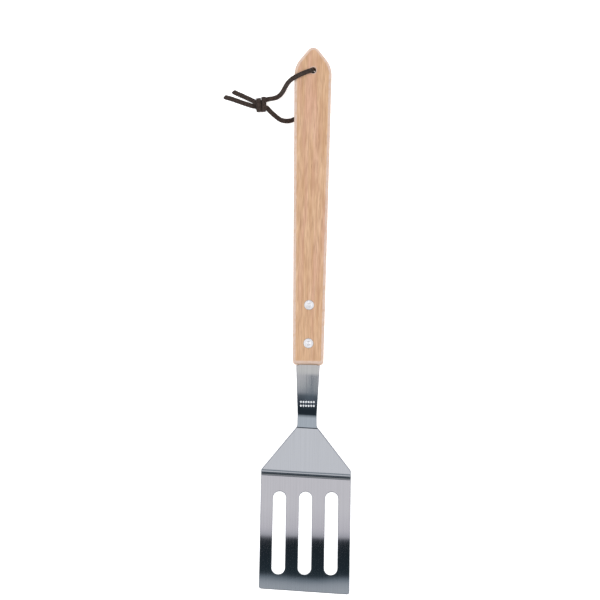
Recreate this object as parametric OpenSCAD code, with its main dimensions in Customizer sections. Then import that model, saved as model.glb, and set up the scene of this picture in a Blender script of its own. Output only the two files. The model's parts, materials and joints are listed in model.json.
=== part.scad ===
// Grill spatula: a slotted, folded steel blade riveted into an oak handle, with a suede lanyard.
// It stands in its rest pose: the heel fold and the handle's pointed end touch the floor at Z 0.
// +Y runs from the blade's front edge to the pointed end, and +Z is up.

/* [Sheet] */
// Thickness of the steel sheet
sheet_t = 1.5; // [1:0.1:2.5]
// Width of the blade
blade_w = 73.6; // [60:0.2:90]
// Length of the blade from its front edge to the heel fold
blade_len = 96.7; // [85:0.1:120]
// Length of the riser from the heel fold to the shoulder fold
riser_len = 49.2; // [40:0.1:60]
// Width of the neck at its waist, next to the shoulder fold
waist_w = 15.6; // [12:0.1:18]
// Width of the neck where it enters the handle
neck_w = 19.2; // [15:0.1:20]
// Radius of the neck's bow, at mid thickness
neck_r = 115; // [100:1:140]
// Flat stretch of the neck above the shoulder fold
stub_len = 8; // [6:0.5:12]
// Length of the tang inside the handle
tang_len = 62; // [55:1:80]
// Width of the tang
tang_w = 15; // [10:0.5:16]
// Radius of the blade's front corners
corner_r = 2; // [0.5:0.5:6]
// How far the front edge is cut off square, in degrees
front_skew = 2.9; // [0:0.1:3]
// How far the fold lines are off square, in degrees
fold_skew = 2.4; // [0:0.1:3]

/* [Folds] */
// Slope of the blade against the handle, in degrees
blade_slope = -10.5; // [-14:0.1:-8]
// Slope of the riser against the handle, in degrees
riser_slope = 40.7; // [35:0.1:50]
// Slope at the foot of the neck against the handle, in degrees
neck_slope = 22; // [18:0.5:28]
// Radius of the heel fold, at mid thickness
heel_r = 4.75; // [3:0.25:6]
// Radius of the shoulder fold, at mid thickness
shoulder_r = 2.75; // [2:0.25:4]

/* [Slots] */
// Number of slots through the blade
slot_count = 3; // [1:1:3]
// Width of each slot
slot_w = 10.7; // [6:0.1:12]
// Length of each slot
slot_len = 69; // [40:1:70]
// Distance from one slot to the next
slot_pitch = 21.3; // [18:0.1:22]
// Distance from the front edge to the slots
slot_margin = 14; // [10:0.5:20]

/* [Handle] */
// Length of the handle
handle_len = 258.5; // [220:0.5:280]
// Thickness of the handle
handle_t = 18; // [14:0.5:22]
// Width of the handle at its blade end
handle_w0 = 24.8; // [22:0.1:28]
// Width of the handle at the foot of its pointed end
handle_w1 = 30.2; // [28:0.1:34]
// Rounding of the handle's long edges
edge_r = 2.5; // [1:0.25:4]
// Rounding of the corners at the blade end, in plan
end_r = 3; // [2.75:0.25:5]
// Rounding where the sides turn in to the point
point_side_r = 20; // [10:1:30]
// Rounding of the point itself
point_r = 5.5; // [4:0.5:8]
// Half of the angle of the point, in degrees
point_half = 38.5; // [30:0.5:45]
// Diameter of the hang hole
hang_d = 5; // [4.5:0.5:7]
// Distance from the blade end to the hang hole
hang_at = 239.4; // [200:0.1:242]

/* [Rivets] */
// Distance from the blade end to the front rivet
rivet_at = 16.4; // [12:0.1:20]
// Distance from the front rivet to the rear rivet
rivet_gap = 31; // [25:0.1:35]
// Diameter of the rivet heads
head_d = 8; // [6:0.1:10]
// Thickness of the rivet heads
head_t = 1.3; // [1:0.1:2]
// How far a head stands proud of the wood
head_proud = 0.4; // [0.1:0.1:1]
// Outer diameter of the tubular shank
tube_d = 4.8; // [4:0.1:6]
// Diameter of the solid shank inside it
post_d = 3.2; // [2:0.1:3.4]
// Diameter of the dimple in a head
dimple_d = 4; // [2:0.5:5]
// Depth of the dimple
dimple_t = 0.25; // [0.1:0.05:0.4]

/* [Lanyard] */
// Width of the lace
lace_w = 3.8; // [3:0.1:4.2]
// Thickness of the lace
lace_t = 1.3; // [1:0.1:1.4]

/* [Hidden] */
$fn = 48;

steel_colour = "silver";
oak_colour = "burlywood";
lace_colour = [0.20, 0.14, 0.12];

fit = 0.1;              // clearance all round the tang and the shanks
cut = 1;                // how far a cutter runs past the face it opens
bend_steps = 8;         // flats in a fold
bow_steps = 14;         // flats in the neck's bow
edge_step = 15;         // degrees between the outlines that round the handle's edges
slice_t = 0.02;         // thickness of each of those outlines
mouth_r = 0.8;          // easing of the hang hole's mouths
mortise_spare = 0.8;    // how much deeper than the tang its mortise is
sheet_over = 5;         // extra sheet at the front that the outline trims off
waist_at = 10;          // distance from the shoulder fold to the neck's waist
full_w_len = 4.6;       // stretch above the heel fold that keeps the blade's width
heel_cut = [1, 1.6];    // corner cut above it, as [across, along]
flare_spare = 0.3;      // how much wider than the waist the riser's top is
flare_at = 1;           // distance from the shoulder fold to the riser's top
neck_gap = 0.5;         // how far before the handle the neck's wide part ends
shank_gap = 1.1;        // how far a shank stops short of the other head's seat
head_ease = 0.4;        // rounding of a rivet head's edge
dimple_ease = 0.6;      // slope of the dimple's side
through = 12;           // length of a cutter that goes right through the sheet
tall = 100;             // height of a cutter that clears the whole tool

// Fold points of the sheet's mid plane as [along, up], in the handle's own frame.
// The handle's blade end is at [0, 0] and the tang lies along its middle.
function heading(a) = [cos(a), sin(a)];
bow_start = -neck_r * [sin(neck_slope), 1 - cos(neck_slope)];
shoulder_pt = bow_start - stub_len * heading(neck_slope);
heel_pt = shoulder_pt - riser_len * heading(riser_slope);
front_pt = heel_pt - blade_len * heading(blade_slope);

// The tool tips until the heel fold and the handle's lower end edge both touch the floor.
function turned(p, a) = [p[0] * cos(a) - p[1] * sin(a), p[0] * sin(a) + p[1] * cos(a)];
heel_fold = riser_slope - blade_slope;
heel_centre = heel_pt + heel_r / cos(heel_fold / 2) * heading(90 + (riser_slope + blade_slope) / 2);
heel_out_r = heel_r + sheet_t / 2;
end_centre = [handle_len - edge_r, edge_r - handle_t / 2];
span = end_centre - heel_centre;
rest_tilt = asin((edge_r - heel_out_r) / norm(span)) - atan2(span[1], span[0]);
floor_up = turned(heel_centre, rest_tilt)[1] - heel_out_r;

// Ends of the tool along Y once it lies at rest, and the shift that centres it.
front_drop = (blade_w / 2 - corner_r) * tan(front_skew);
front_end = turned(front_pt, rest_tilt)[0] - front_drop;
rear_end = turned([handle_len - edge_r, handle_t / 2 - edge_r], rest_tilt)[0] + edge_r;
centre_y = (front_end + rear_end) / 2;
function at_rest(p) = turned(p, rest_tilt) - [centre_y, floor_up];

// Stations along Y at rest
front_y = at_rest(front_pt)[0];
heel_y = at_rest(heel_pt)[0];
shoulder_y = at_rest(shoulder_pt)[0];
neck_end_y = at_rest([0, 0])[0];
hang_y = at_rest([hang_at, 0])[0];
blade_tilt = blade_slope + rest_tilt;

// Rivet levels, measured from the handle's middle
seat_z = handle_t / 2 + head_proud - head_t;
shank_z = seat_z - shank_gap;

// Route of the lace as [x, y, z, heading of its width], from the hang hole's middle at floor level
loop_route = [
    [-37.9, -22.9, 2.4, 100], [-35.3, -22.0, 1.8, 110], [-32.2, -21.5, 1.6, 105],
    [-29.1, -20.5, 2.2, 120], [-26.4, -18.6, 4.2, 135], [-24.4, -16.2, 7.6, 145],
    [-22.8, -13.4, 11.8, 142], [-21.2, -10.8, 15.8, 135], [-19.0, -8.2, 19.0, 130],
    [-16.4, -6.2, 21.2, 124], [-13.0, -4.2, 21.7, 118], [-9.0, -2.2, 21.4, 114],
    [-5.4, -0.6, 21.2, 110], [-2.8, 0.3, 20.7, 108], [-1.0, 0.7, 19.2, 106],
    [-0.2, 0.7, 16.8, 104], [0.0, 0.4, 13.8, 112], [0.0, 0.2, 10.6, 128],
    [0.0, 0.3, 7.6, 146], [0.0, 0.1, 5.0, 160], [-0.1, -0.9, 2.8, 170],
    [-0.3, -2.9, 1.35, 172], [-0.7, -5.6, 0.8, 172], [-1.4, -10.0, 0.75, 171],
    [-2.4, -16.0, 0.75, 168], [-3.8, -22.0, 0.75, 164], [-5.8, -28.0, 0.75, 158],
    [-8.8, -33.0, 0.75, 142], [-12.6, -36.8, 0.75, 126], [-17.0, -39.2, 0.75, 106],
    [-21.6, -39.8, 0.75, 84], [-26.0, -38.8, 0.75, 66], [-30.1, -35.9, 0.8, 56],
    [-34.2, -32.4, 1.2, 50], [-37.7, -29.2, 2.0, 52]];
tail_a_route = [
    [-45.5, -25.6, 3.8, 62], [-49.1, -23.7, 3.2, 62], [-52.9, -21.9, 2.0, 63],
    [-56.9, -20.1, 1.1, 63], [-61.4, -18.2, 0.75, 64], [-65.6, -16.3, 0.75, 66]];
tail_b_route = [
    [-45.5, -28.8, 1.6, 76], [-49.4, -27.9, 1.2, 75], [-54.4, -26.4, 0.85, 73],
    [-60.3, -24.5, 0.75, 72], [-66.5, -22.4, 0.75, 73], [-72.6, -20.8, 0.75, 75]];
// Knot: its middle, its size along and across the lace, its height and its turn
knot_pt = [-41.8, -26.7];
knot_len = 8.8;
knot_w = 12.6;
knot_h = 5.4;
knot_turn = 4;
knot_z = 0.1;

// Points of an arc, from angle a0 to a1 in n steps
function arc_points(c, r, a0, a1, n) =
    [for (i = [0:n]) c + r * heading(a0 + (a1 - a0) * i / n)];

// Mid line of the sheet as [along, up, slope], from past the blade's front edge to the tang's end
function fold_line(corner, r, s0, s1, n) =
    let (side = sign(s1 - s0), half = abs(s1 - s0) / 2,
        centre = corner + side * r / cos(half) * heading(90 + (s0 + s1) / 2))
    [for (i = [0:n]) let (s = s0 + (s1 - s0) * i / n, p = centre - side * r * heading(90 + s))
        [p[0], p[1], s]];
sheet_start = front_pt - sheet_over * heading(blade_slope);
mid_line = concat(
    [[sheet_start[0], sheet_start[1], blade_slope]],
    fold_line(heel_pt, heel_r, blade_slope, riser_slope, bend_steps),
    fold_line(shoulder_pt, shoulder_r, riser_slope, neck_slope, bend_steps),
    [for (i = [0:bow_steps]) let (s = neck_slope * (1 - i / bow_steps))
        [-neck_r * sin(s), -neck_r * (1 - cos(s)), s]],
    [[tang_len, 0, 0]]);
function sheet_side(side) =
    [for (m = mid_line) at_rest([m[0], m[1]] + side * sheet_t / 2 * heading(90 + m[2]))];
function reversed(v) = [for (i = [len(v) - 1:-1:0]) v[i]];

// Puts a shape drawn in the handle's own frame, with its axis along +Y, into the rest pose
module in_handle() {
    translate([0, -centre_y, -floor_up]) rotate([rest_tilt, 0, 0]) children();
}

// The folded sheet at full width, before its outline is cut
module folded_sheet() {
    translate([0, heel_y, 0]) rotate(-fold_skew) translate([0, -heel_y, 0])
        rotate([90, 0, 90]) linear_extrude(2 * blade_w, center = true)
            polygon(concat(sheet_side(1), reversed(sheet_side(-1))));
}

// Outline of the blade, riser, neck and tang, seen from above
module sheet_outline() {
    w = blade_w / 2;
    full_y = heel_y + full_w_len;
    flare_x = (waist_w + flare_spare) / 2;
    flare_y = shoulder_y + flare_at;
    waist_y = shoulder_y + waist_at;
    neck_y = neck_end_y - neck_gap;
    tang_y = neck_end_y + 2 * tang_len;
    left = [-w + corner_r, front_y + front_drop + corner_r];
    right = [w - corner_r, front_y - front_drop + corner_r];
    polygon(concat(
        arc_points(left, corner_r, 180, 270 - front_skew, 6),
        arc_points(right, corner_r, 270 - front_skew, 360, 6),
        [[w, full_y], [w - heel_cut[0], full_y + heel_cut[1]], [flare_x, flare_y],
            [waist_w / 2, waist_y], [neck_w / 2, neck_y], [tang_w / 2, neck_y],
            [tang_w / 2, tang_y], [-tang_w / 2, tang_y], [-tang_w / 2, neck_y],
            [-neck_w / 2, neck_y], [-waist_w / 2, waist_y], [-flare_x, flare_y],
            [-w + heel_cut[0], full_y + heel_cut[1]], [-w, full_y]]));
}

// One slot with round ends, as a cutter square to the blade
module slot_cutter() {
    straight = slot_len - slot_w;
    linear_extrude(through, center = true) {
        translate([-slot_w / 2, slot_w / 2]) square([slot_w, straight]);
        translate([0, slot_w / 2]) circle(d = slot_w);
        translate([0, slot_w / 2 + straight]) circle(d = slot_w);
    }
}

module blade() {
    color(steel_colour) difference() {
        intersection() {
            folded_sheet();
            translate([0, 0, -cut]) linear_extrude(tall) sheet_outline();
        }
        for (i = [0:slot_count - 1])
            translate([(i - (slot_count - 1) / 2) * slot_pitch, front_y, at_rest(front_pt)[1]])
                rotate([blade_tilt, 0, 0]) translate([0, slot_margin, 0]) slot_cutter();
        in_handle() for (y = [rivet_at, rivet_at + rivet_gap])
            translate([0, y, 0]) cylinder(d = tube_d + 2 * fit, h = through, center = true);
    }
}

// Outline of the handle in plan, drawn in by inset on every side
function handle_outline(inset) =
    let (w0 = handle_w0 / 2, w1 = handle_w1 / 2,
        n = heading(point_half),
        tip = [0, handle_len - point_r],
        side_x = w1 - point_side_r,
        side_y = tip[1] + (point_r - point_side_r - side_x * n[0]) / n[1],
        half = concat(
            arc_points([w0 - end_r, end_r], end_r - inset, -90, 0, 5),
            arc_points([side_x, side_y], point_side_r - inset, 0, point_half, 6),
            arc_points(tip, point_r - inset, point_half, 90, 5)))
    concat(half, [for (i = [len(half) - 2:-1:0]) [-half[i][0], half[i][1]]]);

// The handle's solid, with its long edges rounded by a stack of outlines
module handle_blank() {
    mid = handle_t / 2 - edge_r;
    hull() for (a = [0:edge_step:90], s = [-1, 1])
        translate([0, 0, s * (mid + (edge_r - slice_t) * sin(a))])
            linear_extrude(slice_t, center = true) polygon(handle_outline(edge_r * (1 - cos(a))));
}

// Bore for one rivet, with a seat for the head in each face
module rivet_bore() {
    cylinder(d = tube_d + 2 * fit, h = 2 * handle_t, center = true);
    for (s = [0, 1]) mirror([0, 0, s])
        translate([0, 0, seat_z]) cylinder(d = head_d + fit, h = head_t + cut);
}

// Bore for the lace, with both mouths eased
module hang_bore() {
    cylinder(d = hang_d, h = 2 * handle_t, center = true);
    for (s = [0, 1]) mirror([0, 0, s]) translate([0, 0, handle_t / 2 - mouth_r])
        cylinder(d1 = hang_d, d2 = hang_d + 4 * mouth_r, h = 2 * mouth_r);
}

module handle() {
    color(oak_colour) in_handle() difference() {
        handle_blank();
        translate([-tang_w / 2 - 2 * fit, -cut, -sheet_t / 2 - fit])
            cube([tang_w + 4 * fit, tang_len + cut + mortise_spare, sheet_t + 2 * fit]);
        for (y = [rivet_at, rivet_at + rivet_gap]) translate([0, y, 0]) rivet_bore();
        translate([0, hang_at, 0]) hang_bore();
    }
}

// A domed rivet head on its seat, with a dimple in its middle
module rivet_head() {
    r = head_d / 2;
    edge = arc_points([r - head_ease, head_t - head_ease], head_ease, 0, 90, 3);
    rotate_extrude() polygon(concat([[0, 0], [r, 0]], edge, [[dimple_d / 2, head_t],
        [dimple_d / 2 - dimple_ease, head_t - dimple_t], [0, head_t - dimple_t]]));
}

// Half of a rivet that holds the solid shank; its head is under the handle
module rivet_post(y) {
    color(steel_colour) in_handle() translate([0, y, 0]) {
        translate([0, 0, -seat_z]) mirror([0, 0, 1]) rivet_head();
        translate([0, 0, -seat_z]) cylinder(d = post_d, h = seat_z + shank_z);
    }
}

// Half of a rivet that holds the tubular shank; its head is on top
module rivet_cap(y) {
    color(steel_colour) in_handle() translate([0, y, 0]) {
        translate([0, 0, seat_z]) rivet_head();
        difference() {
            translate([0, 0, -shank_z]) cylinder(d = tube_d, h = seat_z + shank_z);
            translate([0, 0, -shank_z - cut]) cylinder(d = post_d + fit, h = 2 * shank_z + cut + fit);
        }
    }
}

module front_rivet_post() { rivet_post(rivet_at); }
module front_rivet_cap() { rivet_cap(rivet_at); }
module rear_rivet_post() { rivet_post(rivet_at + rivet_gap); }
module rear_rivet_cap() { rivet_cap(rivet_at + rivet_gap); }

// Flat oval section of the lace, as [across, through]
lace_section = [for (s = [[1, 0.45], [0.75, 1], [-0.75, 1], [-1, 0.45],
    [-1, -0.45], [-0.75, -1], [0.75, -1], [1, -0.45]]) [s[0] * lace_w / 2, s[1] * lace_t / 2]];

function unit(v) = v / norm(v);
function place(p) = [p[0], p[1], p[2]];
function run_at(route, i) =
    unit(place(route[min(i + 1, len(route) - 1)]) - place(route[max(i - 1, 0)]));
function lace_ring(route, i) =
    let (t = run_at(route, i), a = route[i][3], flat = [cos(a), sin(a), 0],
        across = unit(flat - (flat * t) * t), through = cross(t, across))
    [for (s = lace_section) place(route[i]) + s[0] * across + s[1] * through];

// A flat lace swept along a route
module lace(route) {
    n = len(lace_section);
    last = (len(route) - 1) * n;
    color(lace_colour) translate([0, hang_y, 0]) polyhedron(
        points = [for (i = [0:len(route) - 1]) each lace_ring(route, i)],
        faces = concat(
            [[for (k = [0:n - 1]) k]],
            [for (i = [0:len(route) - 2], k = [0:n - 1])
                [i * n + k, (i + 1) * n + k, (i + 1) * n + (k + 1) % n, i * n + (k + 1) % n]],
            [[for (k = [n - 1:-1:0]) last + k]]));
}

module lanyard_loop() { lace(loop_route); }
module lanyard_tail_a() { lace(tail_a_route); }
module lanyard_tail_b() { lace(tail_b_route); }

// The knot as a plain pillow of its outer size
module lanyard_knot() {
    r = knot_h / 2;
    color(lace_colour) translate([knot_pt[0], hang_y + knot_pt[1], knot_z + r]) rotate(knot_turn)
        rotate([90, 0, 90]) linear_extrude(knot_len, center = true) {
            square([knot_w - knot_h, knot_h], center = true);
            for (s = [-1, 1]) translate([s * (knot_w / 2 - r), 0]) circle(r);
        }
}

blade();
handle();
front_rivet_post();
front_rivet_cap();
rear_rivet_post();
rear_rivet_cap();
lanyard_loop();
lanyard_knot();
lanyard_tail_a();
lanyard_tail_b();
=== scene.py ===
import bmesh
import bpy
import json
import math
from mathutils import Matrix, Vector, noise


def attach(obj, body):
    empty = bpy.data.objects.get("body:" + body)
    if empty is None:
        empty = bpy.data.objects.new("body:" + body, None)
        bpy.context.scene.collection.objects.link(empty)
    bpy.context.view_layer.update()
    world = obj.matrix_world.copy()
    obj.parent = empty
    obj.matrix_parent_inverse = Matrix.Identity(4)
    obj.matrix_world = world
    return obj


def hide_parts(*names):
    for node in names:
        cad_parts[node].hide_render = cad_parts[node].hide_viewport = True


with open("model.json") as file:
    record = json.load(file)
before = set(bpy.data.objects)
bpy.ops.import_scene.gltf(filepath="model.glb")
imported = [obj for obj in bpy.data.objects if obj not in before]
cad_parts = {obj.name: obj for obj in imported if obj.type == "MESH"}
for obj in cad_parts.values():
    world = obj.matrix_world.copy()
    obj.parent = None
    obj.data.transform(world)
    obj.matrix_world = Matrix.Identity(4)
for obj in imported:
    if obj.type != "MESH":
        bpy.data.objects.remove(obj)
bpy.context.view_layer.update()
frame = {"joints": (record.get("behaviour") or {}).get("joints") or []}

# Grill spatula: folded and slotted steel sheet, oak handle, two pairs of rivet heads, suede lace.
# Sizes in the dictionaries are millimetres and degrees unless a note says otherwise.
mm = 0.001
scene = bpy.context.scene
scene.view_settings.view_transform = "Standard"


# Small helpers for node trees, materials and pieces
def wire(tree, value, socket):
    if isinstance(value, bpy.types.NodeSocket):
        tree.links.new(value, socket)
    else:
        socket.default_value = value


def addNode(tree, kind, inputs=None, **settings):
    node = tree.nodes.new(kind)
    for name, value in settings.items():
        setattr(node, name, value)
    for name, value in (inputs or {}).items():
        wire(tree, value, node.inputs[name])
    return node


def calc(tree, operation, *values):
    node = tree.nodes.new("ShaderNodeMath")
    node.operation = operation
    for socket, value in zip(node.inputs, values):
        wire(tree, value, socket)
    return node.outputs[0]


def spread(tree, value, fromLow, fromHigh, toLow, toHigh, smooth=False):
    kind = "SMOOTHSTEP" if smooth else "LINEAR"
    ranges = {"Value": value, "From Min": fromLow, "From Max": fromHigh, "To Min": toLow, "To Max": toHigh}
    return addNode(tree, "ShaderNodeMapRange", ranges, interpolation_type=kind).outputs["Result"]


def toVector(tree, x=0.0, y=0.0, z=0.0):
    return addNode(tree, "ShaderNodeCombineXYZ", {"X": x, "Y": y, "Z": z}).outputs[0]


def vectorCalc(tree, operation, first, second):
    inputs = {0: first, "Scale" if operation == "SCALE" else 1: second}
    return addNode(tree, "ShaderNodeVectorMath", inputs, operation=operation).outputs[0]


def mottle(tree, vector, scale, detail):
    inputs = {"Vector": vector, "Scale": scale, "Detail": detail}
    return addNode(tree, "ShaderNodeTexNoise", inputs).outputs["Fac"]


def blendColours(tree, amount, first, second):
    node = tree.nodes.new("ShaderNodeMix")
    node.data_type = "RGBA"
    wire(tree, amount, node.inputs[0])
    wire(tree, first, node.inputs[6])
    wire(tree, second, node.inputs[7])
    return node.outputs[2]


def newTree(name, kind, takes, gives):
    tree = bpy.data.node_groups.new(name, kind)
    sockets = [(label, "INPUT", socketType, value) for label, (socketType, value) in takes.items()]
    sockets += [(label, "OUTPUT", socketType, None) for label, socketType in gives.items()]
    for label, side, socketType, value in sockets:
        socket = tree.interface.new_socket(name=label, in_out=side, socket_type="NodeSocket" + socketType)
        if value is not None:
            socket.default_value = value
    start = tree.nodes.new("NodeGroupInput").outputs
    end = tree.nodes.new("NodeGroupOutput").inputs
    return tree, start, end


def useGroup(tree, group, inputs, kind="ShaderNodeGroup"):
    node = tree.nodes.new(kind)
    node.node_tree = group
    for name, value in inputs.items():
        wire(tree, value, node.inputs[name])
    return node.outputs


def newMaterial(name, settings):
    material = bpy.data.materials.new(name)
    material.use_nodes = True
    tree = material.node_tree
    shader = tree.nodes["Principled BSDF"]
    for label, value in settings.items():
        shader.inputs[label].default_value = value
    return material, tree, shader


def bump(tree, height, distance, under=None):
    inputs = {"Height": height, "Distance": distance}
    if under is not None:
        inputs["Normal"] = under
    return addNode(tree, "ShaderNodeBump", inputs).outputs["Normal"]


def linkPiece(name, mesh, material=None):
    piece = bpy.data.objects.new(name, mesh)
    scene.collection.objects.link(piece)
    if material:
        mesh.materials.append(material)
    return piece


# Camera, floor and studio
cameraPlace = {"x": -7.4, "y": 16.2, "height": 2600.0, "roll": 1.0, "lens": 190.3}
studio = {
    "floorSize": 6.0,                      # metres
    "floorColour": (0.93, 0.93, 0.93, 1),
    "floorGlow": 0.5,                      # the paper is lit a little from below
    "hoodSpan": (0.0028, 0.0052),          # sides of the dark lens hood, as directions
    "hoodSoft": 0.0005,
    "hoodDrift": 0.00073,                  # how far the hood leans sideways for each degree
    "hoodFoot": (-28.0, -20.0),            # leans between which the hood's two ends fade
    "hoodTop": (0.5, 3.5),
    "hoodColour": (0.07, 0.09, 0.11, 1),
    "sideSpan": (0.2, 0.35),               # how far to the side the soft boxes fade in, as directions
    "sideLight": (1.72, 1.72, 1.72, 1),
    "sideHeight": (0.62, 0.82),            # how high they fade in, as directions
    "horizonLight": (0.36, 0.37, 0.39, 1),
    "strength": 1.9,
}
# Brightness overhead by lean: degrees from straight up, with the pointed end positive.
# The first strip covers everything; the others are finer and lie over it where the steel reflects.
overheadStrips = [
    [(-90.0, 0.33, 0.34, 0.36), (-66.0, 0.33, 0.34, 0.36), (-64.0, 0.05, 0.065, 0.08),
     (-40.0, 0.05, 0.065, 0.08), (-36.0, 0.28, 0.31, 0.34), (-25.0, 0.011, 0.016, 0.021),
     (-18.5, 0.032, 0.040, 0.050), (-15.5, 0.060, 0.071, 0.083), (-12.5, 0.20, 0.21, 0.225),
     (-8.0, 0.27, 0.28, 0.285), (0.0, 0.32, 0.32, 0.325), (5.0, 0.37, 0.37, 0.36),
     (12.0, 0.38, 0.36, 0.36), (15.0, 0.10, 0.11, 0.13), (23.0, 0.10, 0.11, 0.13),
     (25.0, 0.23, 0.25, 0.27), (29.5, 0.385, 0.378, 0.395), (90.0, 0.45, 0.45, 0.45)],
    [(-76.0, 0.39, 0.40, 0.42), (-71.75, 0.39, 0.40, 0.42), (-71.5, 0.13, 0.15, 0.17),
     (-70.8, 0.13, 0.15, 0.17), (-70.5, 0.33, 0.34, 0.36), (-64.0, 0.33, 0.34, 0.36)],
    [(-35.0, 0.28, 0.31, 0.34), (-34.0, 0.26, 0.29, 0.32), (-33.2, 0.20, 0.225, 0.245),
     (-31.8, 0.09, 0.11, 0.125), (-31.3, 0.012, 0.017, 0.022), (-25.0, 0.011, 0.016, 0.021)],
    [(25.0, 0.23, 0.25, 0.27), (25.6, 0.23, 0.25, 0.27), (25.97, 0.185, 0.207, 0.23),
     (26.20, 0.08, 0.10, 0.12), (26.36, 0.010, 0.016, 0.021), (27.95, 0.009, 0.012, 0.015),
     (28.07, 0.015, 0.018, 0.026), (28.16, 0.25, 0.25, 0.275), (28.5, 0.345, 0.336, 0.36),
     (29.5, 0.385, 0.378, 0.395), (32.0, 0.385, 0.378, 0.395)],
]


def makeCamera(place):
    data = bpy.data.cameras.new("mainCamera")
    data.lens = place["lens"]
    data.clip_start = 0.01
    data.clip_end = 100
    camera = bpy.data.objects.new("mainCamera", data)
    camera.location = (place["x"] * mm, place["y"] * mm, place["height"] * mm)
    camera.rotation_euler = (0, 0, math.radians(place["roll"]))
    scene.collection.objects.link(camera)
    scene.camera = camera


def stripColour(tree, lean, strip):
    start = strip[0][0]
    size = strip[-1][0] - start
    ramp = addNode(tree, "ShaderNodeValToRGB", {0: spread(tree, lean, start, start + size, 0, 1)})
    stops = ramp.color_ramp.elements
    while len(stops) < len(strip):
        stops.new(0.5)
    for stop, (angle, red, green, blue) in zip(stops, strip):
        stop.position = (angle - start) / size
        stop.color = (red, green, blue, 1)
    return ramp.outputs["Color"]


def overheadLight(tree, lean, strips):
    light = stripColour(tree, lean, strips[0])
    for strip in strips[1:]:
        inside = calc(tree, "MULTIPLY", calc(tree, "GREATER_THAN", lean, strip[0][0]),
                      calc(tree, "LESS_THAN", lean, strip[-1][0]))
        light = blendColours(tree, inside, light, stripColour(tree, lean, strip))
    return light


def hoodMask(tree, sideways, lean, facts):
    drifted = calc(tree, "SUBTRACT", sideways, calc(tree, "MULTIPLY", lean, facts["hoodDrift"]))
    near, far = facts["hoodSpan"]
    soft = facts["hoodSoft"]
    mask = spread(tree, drifted, near - soft, near + soft, 0, 1, True)
    mask = calc(tree, "MULTIPLY", mask, spread(tree, drifted, far - soft, far + soft, 1, 0, True))
    mask = calc(tree, "MULTIPLY", mask, spread(tree, lean, *facts["hoodTop"], 1, 0, True))
    return calc(tree, "MULTIPLY", mask, spread(tree, lean, *facts["hoodFoot"], 0, 1, True))


def makeStudio(facts, strips):
    world = bpy.data.worlds.new("softStudio")
    scene.world = world
    world.use_nodes = True
    tree = world.node_tree
    tree.nodes.clear()
    towards = addNode(tree, "ShaderNodeTexCoord").outputs["Generated"]
    axes = addNode(tree, "ShaderNodeSeparateXYZ", {0: towards}).outputs
    lean = calc(tree, "MULTIPLY", calc(tree, "ARCTAN2", axes["Y"], axes["Z"]), math.degrees(1))
    above = overheadLight(tree, lean, strips)
    shaded = blendColours(tree, hoodMask(tree, axes["X"], lean, facts), above, facts["hoodColour"])
    toSide = spread(tree, calc(tree, "ABSOLUTE", axes["X"]), *facts["sideSpan"], 0, 1, True)
    low = spread(tree, axes["Z"], *facts["sideHeight"], 1, 0, True)
    sides = blendColours(tree, low, facts["sideLight"], facts["horizonLight"])
    light = blendColours(tree, toSide, shaded, sides)
    seen = addNode(tree, "ShaderNodeLightPath").outputs["Is Camera Ray"]
    colour = blendColours(tree, seen, light, (1, 1, 1, 1))
    strength = spread(tree, seen, 0, 1, facts["strength"], 1)
    sky = addNode(tree, "ShaderNodeBackground", {"Color": colour, "Strength": strength})
    addNode(tree, "ShaderNodeOutputWorld", {"Surface": sky.outputs[0]})


def makeFloor(facts):
    half = facts["floorSize"] / 2
    mesh = bpy.data.meshes.new("floor")
    corners = [(-half, -half, 0), (half, -half, 0), (half, half, 0), (-half, half, 0)]
    mesh.from_pydata(corners, [], [(0, 1, 2, 3)])
    paper = newMaterial("floorPaper", {
        "Base Color": facts["floorColour"], "Roughness": 0.9, "Specular IOR Level": 0.0,
        "Emission Color": facts["floorColour"], "Emission Strength": facts["floorGlow"]})[0]
    linkPiece("floor", mesh, paper)


makeCamera(cameraPlace)
makeStudio(studio, overheadStrips)
makeFloor(studio)
print("studio and camera ready")


# Effects that several finishes share
def streakGroup():
    # long thin streaks: polishing lines on steel, fibres in oak, nap on suede
    takes = {"Vector": ("Vector", None), "Across": ("Float", 1000.0), "Along": ("Float", 20.0),
             "Depth": ("Float", 1000.0), "Wander": ("Float", 0.0), "Low": ("Float", 0.3),
             "High": ("Float", 0.7)}
    tree, start, end = newTree("streaks", "ShaderNodeTree", takes, {"Mask": "Float"})
    drift = addNode(tree, "ShaderNodeTexNoise", {"Vector": start["Vector"], "Scale": 25.0, "Detail": 2.0})
    offset = vectorCalc(tree, "SUBTRACT", drift.outputs["Color"], (0.5, 0.5, 0.5))
    moved = vectorCalc(tree, "ADD", start["Vector"], vectorCalc(tree, "SCALE", offset, start["Wander"]))
    stretch = toVector(tree, start["Across"], start["Along"], start["Depth"])
    grain = mottle(tree, vectorCalc(tree, "MULTIPLY", moved, stretch), 1.0, 3.0)
    tree.links.new(spread(tree, grain, start["Low"], start["High"], 0, 1), end["Mask"])
    return tree


def paintedEdgeGroup():
    # painted light and shade along rounded edges, broken up by noise: a dark painted reflection on the steel
    # and the rivets, a pale painted highlight on the oak; the pieces carry an "edge" attribute
    takes = {"Vector": ("Vector", None), "Amount": ("Float", 1.0), "Grain": ("Float", 400.0)}
    tree, start, end = newTree("paintedEdgeLight", "ShaderNodeTree", takes, {"Mask": "Float"})
    edge = addNode(tree, "ShaderNodeAttribute", attribute_name="edge").outputs["Fac"]
    patch = mottle(tree, start["Vector"], start["Grain"], 4.0)
    broken = calc(tree, "MULTIPLY", edge, spread(tree, patch, 0.35, 0.6, 0.4, 1))
    mask = calc(tree, "MINIMUM", calc(tree, "MULTIPLY", broken, start["Amount"]), 1)
    tree.links.new(mask, end["Mask"])
    return tree


streaks = streakGroup()
paintedEdgeLight = paintedEdgeGroup()


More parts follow.
